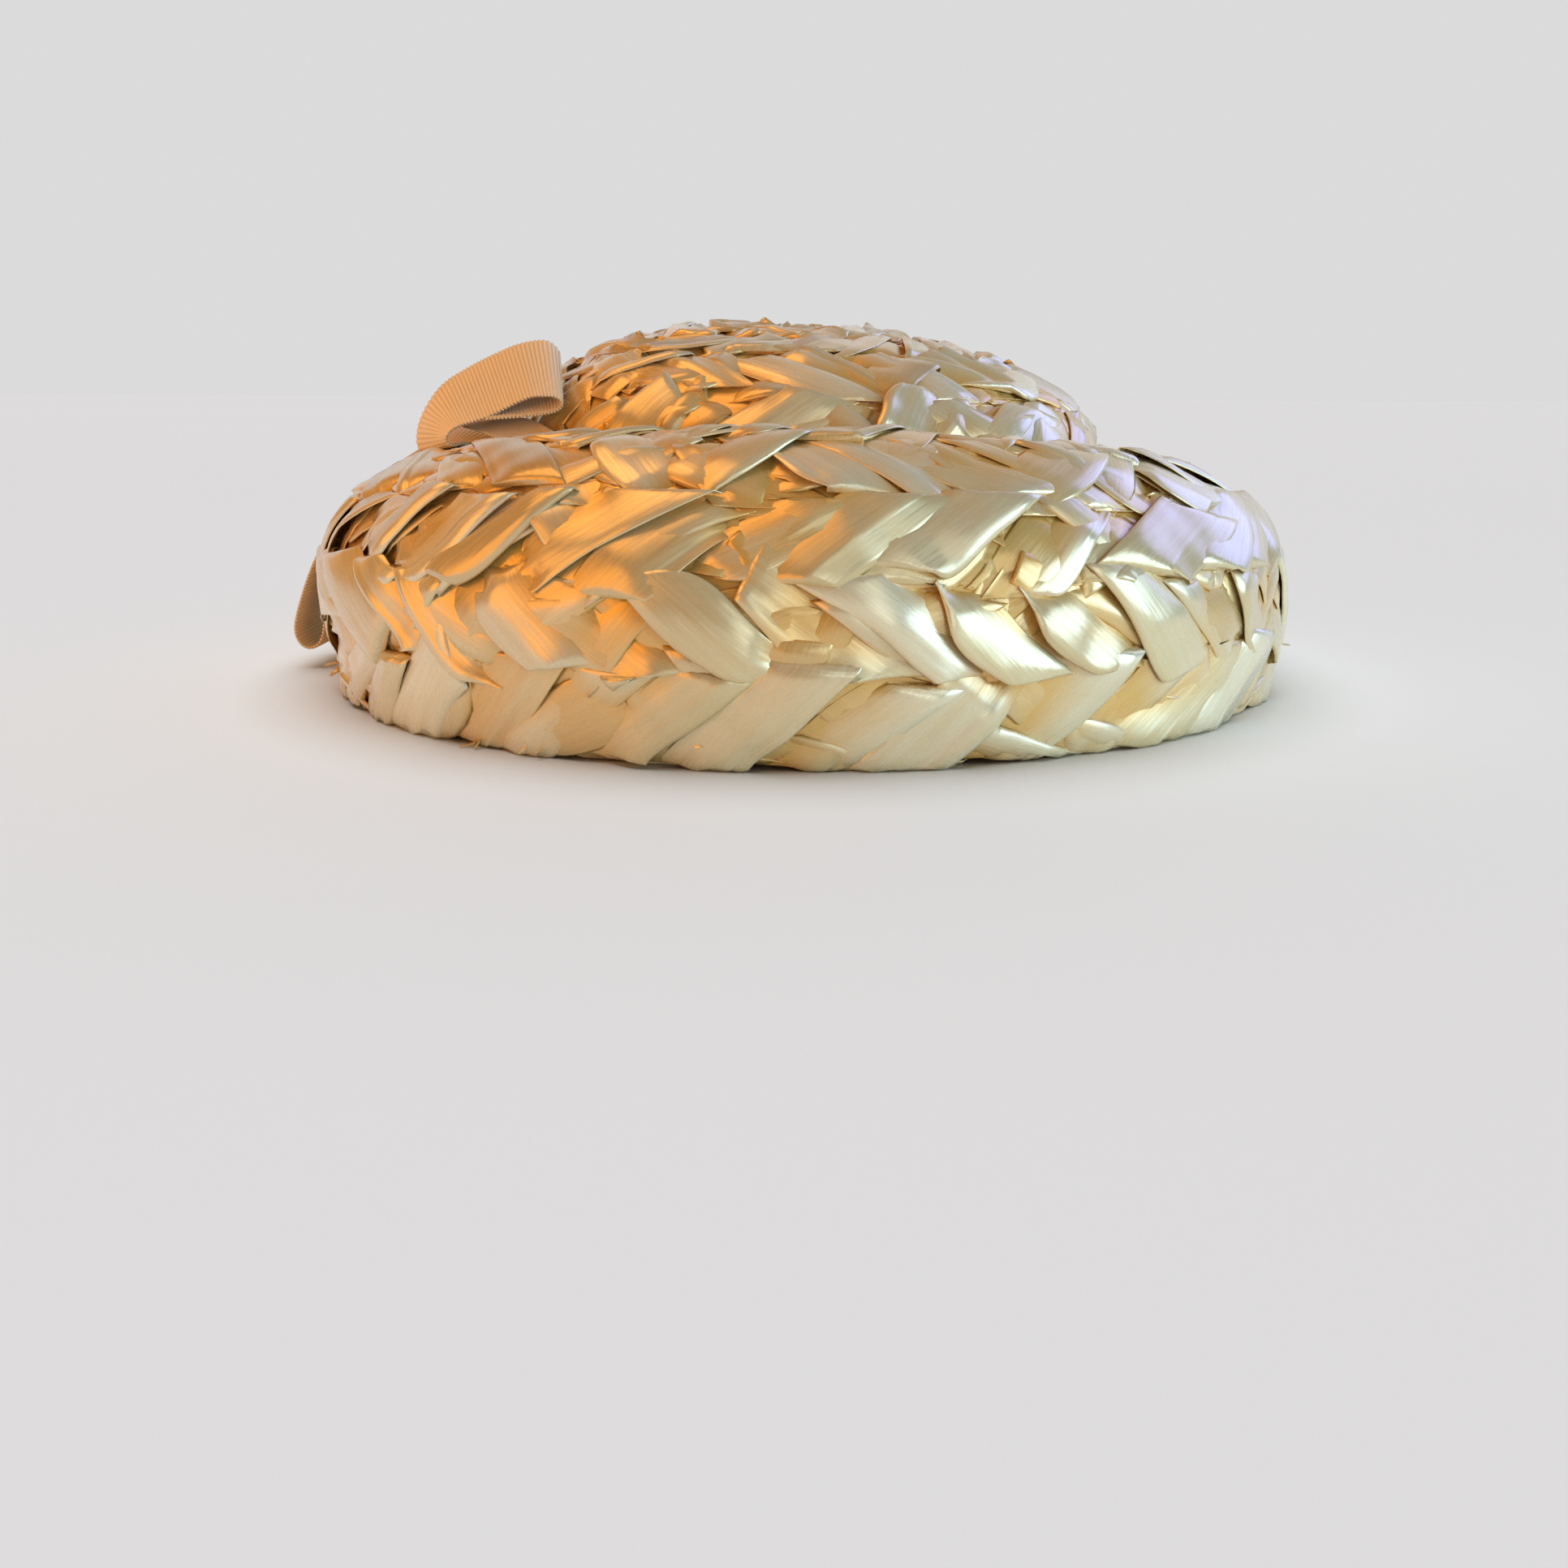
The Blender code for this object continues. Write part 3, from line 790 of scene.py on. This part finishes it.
def mixed(tree, blend, share, first, second):
    """A colour from another node with a plain colour mixed in by a share."""
    node = node_of(tree, "ShaderNodeMixRGB", blend_type=blend)
    node.inputs["Color2"].default_value = (*second, 1)
    tree.links.new(share, node.inputs["Fac"])
    tree.links.new(first, node.inputs["Color1"])
    return node.outputs["Color"]


def drawn_noise(tree, uv, scale, detail):
    """Noise on the strips' map, drawn out by a scale."""
    mapping = node_of(tree, "ShaderNodeMapping")
    mapping.inputs["Scale"].default_value = scale
    tree.links.new(uv, mapping.inputs["Vector"])
    noise = node_of(tree, "ShaderNodeTexNoise", Scale=1.0, Detail=detail)
    tree.links.new(mapping.outputs["Vector"], noise.inputs["Vector"])
    return noise.outputs["Fac"]


def attribute_of(tree, name):
    return node_of(tree, "ShaderNodeAttribute", attribute_name=name).outputs["Fac"]


def strip_map(tree):
    return node_of(tree, "ShaderNodeUVMap", uv_map="strip").outputs["UV"]


def bumped(tree, shader, height, strength, distance):
    """Gives the shader a fine relief, its strength a number or what another node gives."""
    bump = node_of(tree, "ShaderNodeBump", Distance=distance)
    tree.links.new(height, bump.inputs["Height"])
    if isinstance(strength, bpy.types.NodeSocket):
        tree.links.new(strength, bump.inputs["Strength"])
    else:
        bump.inputs["Strength"].default_value = strength
    tree.links.new(bump.outputs["Normal"], shader.inputs["Normal"])


def new_material(name, **values):
    """A material, its node tree and its shader, with constants set on the shader's own sockets."""
    material = bpy.data.materials.new(name)
    material.use_nodes = True
    shader = material.node_tree.nodes["Principled BSDF"]
    for socket, value in values.items():
        shader.inputs[socket].default_value = value
    return material, material.node_tree, shader


# The straw's colours by tone, its painted shade colour where it lies low, its darker streaks, and its
# satin.
STRAW_COLOURS = ((0.62, 0.46, 0.20), (0.80, 0.70, 0.41), (0.70, 0.56, 0.28), (0.87, 0.81, 0.57),
                 (0.72, 0.61, 0.35))
PAINTED_SHADE_COLOUR = (0.82, 0.51, 0.13)
STREAK_SHADE = (0.96, 0.92, 0.84)
STRAW_SATIN = {"Metallic": 0.32, "Anisotropic": 0.8, "Anisotropic Rotation": 0.25,
               "Specular IOR Level": 1.0, "IOR": 1.5, "Coat Weight": 0.7, "Coat Roughness": 0.22}
BROAD_STREAKS = (0.35, 4.0, 1.0)
BROAD_DETAIL = 3.0
FINE_STREAKS = (0.6, 11.0, 1.0)
FINE_DETAIL = 2.0
SHADED_STREAKS = (0.35, 0.7)
FIBRE_RANGE = (0.3, 0.7)
ROUGHNESS_RANGE = (0.18, 0.36)
BUMP_TONES = 0.25
BUMP_RANGE = (0.1, 0.6)
BUMP_DISTANCE = 0.00016
BROAD_BUMP = 1.3


def raffia_material():
    """Flattened straw: satin streaks along each strip, a tone for each strip, painted shade where it lies
    low.
    """
    material, tree, shader = new_material("raffia", **STRAW_SATIN)
    uv = strip_map(tree)
    streak = drawn_noise(tree, uv, BROAD_STREAKS, BROAD_DETAIL)
    fibre = drawn_noise(tree, uv, FINE_STREAKS, FINE_DETAIL)
    tone = attribute_of(tree, "tone")
    last = len(STRAW_COLOURS) - 1
    straw = ramped(tree, tone, [(number / last, colour) for number, colour in enumerate(STRAW_COLOURS)])
    # Painted shade: low-lying places between strips are mixed towards a darker ochre.
    straw = mixed(tree, "MIX", attribute_of(tree, "painted_shade"), straw, PAINTED_SHADE_COLOUR)
    straw = mixed(tree, "MULTIPLY", mapped(tree, streak, *SHADED_STREAKS), straw, STREAK_SHADE)
    tree.links.new(straw, shader.inputs["Base Color"])
    tree.links.new(mapped(tree, fibre, *FIBRE_RANGE, *ROUGHNESS_RANGE), shader.inputs["Roughness"])
    strength = mapped(tree, maths(tree, "PINGPONG", tone, BUMP_TONES), 0.0, BUMP_TONES, *BUMP_RANGE)
    height = maths(tree, "MULTIPLY_ADD", streak, BROAD_BUMP, fibre)
    bumped(tree, shader, height, strength, BUMP_DISTANCE)
    tangent = node_of(tree, "ShaderNodeTangent", direction_type="UV_MAP", uv_map="strip")
    tree.links.new(tangent.outputs["Tangent"], shader.inputs["Tangent"])
    return material


# The ribbon's colours, its shade between ribs, and its soft surface.
RIBBON_COLOURS = ((0.3, (0.90, 0.75, 0.47)), (0.7, (0.98, 0.87, 0.62)))
RIB_LINE_SHADE = (0.80, 0.69, 0.58)
RIBBON_SURFACE = {"Roughness": 0.8, "Sheen Weight": 0.25, "Sheen Roughness": 0.4}
GRAIN_SCALE = (18.0, 40.0, 1.0)
GRAIN_DETAIL = 2.0
GRAIN_BUMP = 0.5
GRAIN_DISTANCE = 0.0001


def grosgrain_material():
    """Matt ribbon with a fine grain, and painted shade between its ribs."""
    material, tree, shader = new_material("grosgrain", **RIBBON_SURFACE)
    grain = drawn_noise(tree, strip_map(tree), GRAIN_SCALE, GRAIN_DETAIL)
    cloth = ramped(tree, grain, RIBBON_COLOURS)
    # Painted shade in the grooves between the ribs.
    cloth = mixed(tree, "MULTIPLY", attribute_of(tree, "painted_shade"), cloth, RIB_LINE_SHADE)
    tree.links.new(cloth, shader.inputs["Base Color"])
    bumped(tree, shader, grain, GRAIN_BUMP, GRAIN_DISTANCE)
    return material


# Both bow loops as the camera's side sees them, in mm: rows of their near and far edge's places
# to the left of the hat's middle, to the back and up.
INNER_LOOP = [
    # near_out, near_back, near_up, far_out, far_back, far_up
    (91.0, -41.0, 71.6, 98.0, -14.0, 70.0),
    (96.5, -46.0, 72.3, 104.5, -18.5, 70.2),
    (99.0, -48.8, 72.0, 110.5, -22.0, 69.2),
    (100.6, -49.6, 73.3, 114.4, -23.0, 70.6),
    (99.4, -50.0, 75.7, 113.2, -23.4, 78.2),
    (96.2, -50.8, 77.4, 107.0, -24.2, 87.2),
    (88.7, -52.0, 79.6, 98.3, -25.3, 92.8),
    (77.3, -55.0, 84.6, 85.7, -27.3, 98.5),
    (71.8, -57.0, 85.4, 78.6, -28.3, 100.3),
    (68.2, -58.0, 85.0, 73.6, -29.1, 100.1),
    (66.6, -58.6, 83.2, 70.7, -29.9, 96.4),
    (69.0, -58.4, 81.4, 73.8, -29.7, 92.1),
    (77.0, -56.5, 80.2, 84.0, -28.0, 87.4),
    (88.5, -53.5, 79.4, 95.0, -26.0, 81.4),
]
OUTER_LOOP = [
    # near_out, near_back, near_up, far_out, far_back, far_up
    (98.0, -9.0, 69.3, 95.5, 22.0, 69.9),
    (104.0, -7.0, 70.0, 101.2, 24.0, 72.6),
    (111.5, -3.5, 70.2, 109.5, 27.5, 78.0),
    (119.0, 0.5, 68.2, 118.0, 31.5, 73.5),
    (131.5, 3.0, 61.2, 127.0, 34.0, 61.4),
    (140.0, 3.0, 54.4, 135.8, 34.0, 54.8),
    (146.3, 1.0, 46.4, 142.8, 32.0, 47.0),
    (150.2, -2.0, 40.4, 147.5, 29.0, 41.0),
    (154.0, -4.0, 33.0, 151.8, 28.0, 33.5),
    (158.0, -4.0, 23.5, 156.0, 28.0, 24.0),
    (161.0, -4.0, 13.5, 159.0, 28.0, 14.0),
    (159.6, -4.0, 8.2, 157.5, 28.0, 8.7),
    (156.0, -4.0, 6.9, 154.0, 28.0, 7.4),
    (152.8, -4.0, 9.8, 150.8, 28.0, 10.3),
    (151.0, -4.0, 18.0, 149.2, 28.0, 18.5),
    (150.2, -4.0, 27.0, 148.4, 27.5, 27.5),
    (149.6, -4.3, 33.5, 147.6, 27.0, 34.0),
]
# The ribbon's ribs, the scallops along its edges and its thickness, in mm, and its places across.
RIB_PITCH = 1.15
RIB_STEPS = 6
BAND_RIB_STEPS = 4
RIB_HEIGHT = 0.16
RIB_FADE = 0.5
PICOT = 0.35
PICOT_GROWS = (0.9, 0.1)
RIBBON_THICK = 0.7
RIBBON_CROSS = np.array([-1.0, -0.975, -0.93, -0.7, -0.4, 0.0, 0.4, 0.7, 0.93, 0.975, 1.0])
LOOP_STEPS = 8


def smooth_rows(rows, steps):
    """The rows of a table with steps between them, on a smooth curve through all of them."""
    rows = np.array(rows)
    padded = np.vstack([2 * rows[0] - rows[1], rows, 2 * rows[-1] - rows[-2]])
    smooth = []
    for index in range(len(rows) - 1):
        before, start, end, after = padded[index:index + 4]
        for part in np.arange(steps) / steps:
            smooth.append(0.5 * (2 * start + (end - before) * part
                                 + (2 * before - 5 * start + 4 * end - after) * part ** 2
                                 + (3 * start - before - 3 * end + after) * part ** 3))
    smooth.append(rows[-1])
    return np.array(smooth)


def turned(points):
    """Points to the right, back and up as the camera's side sees them, turned into the hat's frame."""
    cos, sin = math.cos(SIDES_TURN), math.sin(SIDES_TURN)
    x, y, z = np.moveaxis(np.asarray(points, float), -1, 0)
    return np.stack([x * cos - y * sin, x * sin + y * cos, z], -1)


def evenly(near, far, closed, rib_steps):
    """Both edges of a ribbon at even steps of a part of a rib along its middle."""
    travelled = lengths_along((near + far) / 2)
    ribs = round(travelled[-1] / RIB_PITCH)
    wanted = np.linspace(0, travelled[-1], ribs * rib_steps + 1)
    if closed:
        wanted = wanted[:-1]
    return at_steps(near, travelled, wanted), at_steps(far, travelled, wanted), wanted


def at_steps(edge, travelled, wanted):
    """The points of an edge at the wanted lengths along it."""
    return np.stack([np.interp(wanted, travelled, edge[:, axis]) for axis in range(3)], -1)


def ribbon(name, near, far, material, node, closed=False):
    """A grosgrain ribbon between two edges: cross ribs, and small scallops along both edges."""
    rib_steps = BAND_RIB_STEPS if closed else RIB_STEPS
    near, far, travelled = evenly(near, far, closed, rib_steps)
    middle = (near + far) / 2
    if closed:
        ahead = np.roll(middle, -1, 0) - np.roll(middle, 1, 0)
    else:
        ahead = np.gradient(middle, axis=0)
    across = far - near
    facing = np.cross(ahead, across)
    facing /= np.linalg.norm(facing, axis=1, keepdims=True)
    wave = np.cos(travelled / RIB_PITCH * math.tau)
    share = RIBBON_CROSS[None, :]
    width = np.linalg.norm(across, axis=1)[:, None]
    edge = beyond(np.abs(share), *PICOT_GROWS)
    reach = share * (1 + edge * (PICOT / (width / 2)) * wave[:, None])
    points = middle[:, None] + across[:, None] / 2 * reach[..., None]
    lift = RIB_HEIGHT * wave[:, None] * (1 - RIB_FADE * edge)
    points = points + facing[:, None] * lift[..., None]
    if closed:
        points = np.concatenate([points, points[:1]])
        travelled = np.append(travelled, travelled[-1] + RIB_PITCH / rib_steps)
    plait = Plait()
    along = np.repeat(travelled[:, None], len(RIBBON_CROSS), 1)
    wide = share * np.ones_like(along) * width.mean() / 2
    # Painted shade between the ribs: none on a rib's crest, full in the groove.
    between = 0.5 - 0.5 * np.cos(travelled / RIB_PITCH * math.tau)[:, None]
    plait.add(points, along, wide, 0.5, np.random.default_rng(RIBBON_SEED), between)
    piece = plait.build(name, material, RIBBON_THICK)
    piece.modifiers["thickness"].offset = 0
    if closed:
        weld_seam(piece)
        piece.modifiers.move(1, 0)
    finish_piece(piece, node)
    return piece, travelled[-1] * MM, float(width.mean()) * MM


def bow_edges(rows):
    """The near and the far edge of a loop in the hat's frame."""
    path = smooth_rows(rows, LOOP_STEPS)
    near = turned(np.stack([-path[:, 0], path[:, 1], path[:, 2]], -1))
    far = turned(np.stack([-path[:, 3], path[:, 4], path[:, 5]], -1))
    return near, far


def band_edges():
    """The band's edges: against the crown in the groove, and across the groove at the bow."""
    turn = np.linspace(0, math.tau, BAND_PLACES)
    away = (turn - BOW_SIDE + math.pi) % math.tau - math.pi
    lifted = np.exp(-(away / BOW_SPREAD) ** BAND_LIFT_POWER)
    spread = lifted ** BAND_SPREAD_POWER
    wall = around(CROWN["wall_radius"], turn) + BAND_STAND_OFF
    low = around(BRIM["valley_height"], turn) + BAND_FOOT
    upper_radius = wall + (LIFTED_BAND["upper_radius"] - wall) * lifted
    upper_height = low + BAND_WIDTH
    upper_height = upper_height + (LIFTED_BAND["upper_height"] - upper_height) * lifted
    lower_radius = wall + (LIFTED_BAND["lower_radius"] - wall) * spread
    lower_height = low + (LIFTED_BAND["lower_height"] - low) * lifted
    angle = turn + SIDES_TURN
    upper = np.stack([upper_radius * np.sin(angle), -upper_radius * np.cos(angle), upper_height], -1)
    lower = np.stack([lower_radius * np.sin(angle), -lower_radius * np.cos(angle), lower_height], -1)
    return upper, lower


FLOOR_HALF = 6.0
FLOOR_COLOURS = ((0.0, (0.845, 0.868, 0.882)), (1.0, (0.885, 0.909, 0.921)))
FLOOR_ROUGHNESS = 0.9


def make_floor():
    """A plain pale floor."""
    mesh = bpy.data.meshes.new("floor")
    half = FLOOR_HALF
    mesh.from_pydata([(-half, -half, 0), (half, -half, 0), (half, half, 0), (-half, half, 0)], [],
                     [(0, 1, 2, 3)])
    floor = bpy.data.objects.new("floor", mesh)
    bpy.context.scene.collection.objects.link(floor)
    material, tree, shader = new_material("floor_paper", Roughness=FLOOR_ROUGHNESS)
    noise = node_of(tree, "ShaderNodeTexNoise", Scale=3.0, Detail=3.0).outputs["Fac"]
    tree.links.new(ramped(tree, noise, FLOOR_COLOURS), shader.inputs["Base Color"])
    mesh.materials.append(material)
    return floor


def receive(lamp, floor, state):
    """Make the floor the one thing that a light falls on (INCLUDE) or leaves out (EXCLUDE)."""
    receivers = bpy.data.collections.new(lamp.name + "_receivers")
    receivers.objects.link(floor)
    lamp.light_linking.receiver_collection = receivers
    receivers.collection_objects[0].light_linking.link_state = state


# The tinted lamps' names, places as the camera's side sees them, sizes in metres, power in watts
# and colours. They aim at the hat and leave the floor out, so that it stays plain.
LAMP_AIM = (0.0, 0.0, 0.05)
LAMPS = (
    ("warm_left", (-0.9, -0.55, 0.22), 0.9, 4.4, (1.0, 0.36, 0.01)),
    ("front_right", (0.98, -0.47, 0.18), 0.9, 10.4, (0.52, 0.77, 1.0)),
    ("front_high", (0.40, -0.80, 0.55), 0.5, 0.7, (0.88, 0.96, 0.94)),
    ("front_low", (0.25, -0.90, 0.16), 0.3, 0.5, (0.84, 0.97, 1.0)),
    ("warm_above", (-0.5, 0.0, 0.9), 0.7, 3.3, (1.0, 0.46, 0.11)),
    ("cool_right", (0.8, 0.4, 0.5), 0.7, 2.9, (0.34, 0.38, 1.0)),
)

# The soft light from above: on everything, and more of it on the floor alone.
OVERHEAD = 0.1
ON_FLOOR = 1.95
OVERHEAD_SPREAD = math.radians(70)
OVERHEAD_HEIGHT = 2

# The surroundings: brighter behind the hat and dimmer above it, tinted from left to right except
# where the camera sees them. Each change runs between two cosines, and GLOW and DIMMER_ABOVE also
# give the brightness at both.
GLOW = (0.2, 0.8, 0.2, 0.71)
DIMMER_ABOVE = (0.35, 0.9, 1.0, 0.5)
SIDE_RANGE = (-0.8, 0.8)
UNTINTED = (0.6, 0.82)
SIDE_TINTS = ((0.28, (1.0, 0.43, 0.09)), (0.5, (1.0, 0.96, 0.85)), (0.88, (0.58, 0.70, 1.0)))
WHITE = (1.0, 1.0, 1.0)


def overhead_light(name, strength):
    light = bpy.data.lights.new(name, "SUN")
    light.energy = strength
    light.angle = OVERHEAD_SPREAD
    lamp = bpy.data.objects.new(name, light)
    lamp.location = (0, 0, OVERHEAD_HEIGHT)
    bpy.context.scene.collection.objects.link(lamp)
    return lamp


def area_light(name, place, size, power, colour):
    light = bpy.data.lights.new(name, "AREA")
    light.shape = "DISK"
    light.size = size
    light.energy = power
    light.color = colour
    lamp = bpy.data.objects.new(name, light)
    bpy.context.scene.collection.objects.link(lamp)
    lamp.location = Vector(turned(place)) + HAT_MIDDLE
    target = Vector(turned(LAMP_AIM)) + HAT_MIDDLE
    lamp.rotation_mode = "QUATERNION"
    lamp.rotation_quaternion = (target - lamp.location).to_track_quat("-Z", "Y")
    return lamp


def toward(tree, way, axis):
    """How far a way points along an axis that the camera's side sees."""
    node = node_of(tree, "ShaderNodeVectorMath", operation="DOT_PRODUCT")
    node.inputs[1].default_value = turned(axis)
    tree.links.new(way, node.inputs[0])
    return node.outputs["Value"]


def make_surroundings():
    """A studio that is bright behind the hat, warm on its left and cool on its right."""
    world = bpy.data.worlds.new("studio")
    world.use_nodes = True
    tree = world.node_tree
    sky = tree.nodes["Background"]
    way = node_of(tree, "ShaderNodeTexCoord").outputs["Generated"]
    behind = toward(tree, way, (0, 1, 0))
    right = toward(tree, way, (1, 0, 0))
    above = toward(tree, way, (0, 0, 1))
    glow = mapped(tree, behind, *GLOW, ease="SMOOTHSTEP")
    higher = mapped(tree, above, *DIMMER_ABOVE, ease="SMOOTHSTEP")
    tree.links.new(maths(tree, "MULTIPLY", glow, higher), sky.inputs["Strength"])
    tint = ramped(tree, mapped(tree, right, *SIDE_RANGE, ease="SMOOTHSTEP"), SIDE_TINTS)
    whiter = mapped(tree, behind, *UNTINTED, ease="SMOOTHSTEP")
    tree.links.new(mixed(tree, "MIX", whiter, tint, WHITE), sky.inputs["Color"])
    bpy.context.scene.world = world


def make_lights(floor):
    for name, place, size, power, colour in LAMPS:
        receive(area_light(name, place, size, power, colour), floor, "EXCLUDE")
    overhead_light("overhead", OVERHEAD)
    receive(overhead_light("on_floor", ON_FLOOR), floor, "INCLUDE")


# The camera's place as the hat's near side sees it, in metres from the hat's middle.
CAMERA_PLACE = (-0.0058, -0.512, 0.091)
CAMERA_TILT = math.radians(-14.23)
CAMERA_LENS = 37.0
CAMERA_SENSOR = 36.0
CAMERA_NEAREST = 0.01


def make_camera():
    data = bpy.data.cameras.new("camera")
    data.sensor_width = CAMERA_SENSOR
    data.lens = CAMERA_LENS
    data.clip_start = CAMERA_NEAREST
    camera = bpy.data.objects.new("camera", data)
    bpy.context.scene.collection.objects.link(camera)
    camera.location = Vector(turned(CAMERA_PLACE)) + HAT_MIDDLE
    camera.rotation_euler = (math.pi / 2 + CAMERA_TILT, 0, SIDES_TURN)
    bpy.context.scene.camera = camera


def main():
    make_camera()
    raffia = raffia_material()
    grosgrain = grosgrain_material()
    brim_skin = Skin(brim_line, BRIM_ROWS, BRIM_ROWS + HEM_ROWS, False)
    crown_skin = Skin(crown_line, CROWN_ROWS, CROWN_ROWS, True)
    base_shell("brim_base", brim_skin, raffia, "brim", BRIM_BASE_SEED)
    base_shell("crown_base", crown_skin, raffia, "crown", CROWN_BASE_SEED)
    groove_lip(raffia)
    brim_plait(brim_skin, raffia)
    crown_plait(crown_skin, raffia)
    frayed_ends(brim_skin, raffia)
    near, far = bow_edges(INNER_LOOP)
    piece, length, width = ribbon("bow_inner_ribbon", near, far, grosgrain, "bow_inner_loop")
    near, far = bow_edges(OUTER_LOOP)
    piece, length, width = ribbon("bow_outer_ribbon", near, far, grosgrain, "bow_outer_loop")
    near, far = band_edges()
    piece, length, width = ribbon("band_ribbon", near, far, grosgrain, "crown_band", closed=True)
    make_surroundings()
    make_lights(make_floor())
    bpy.context.scene.view_settings.view_transform = "Standard"


main()
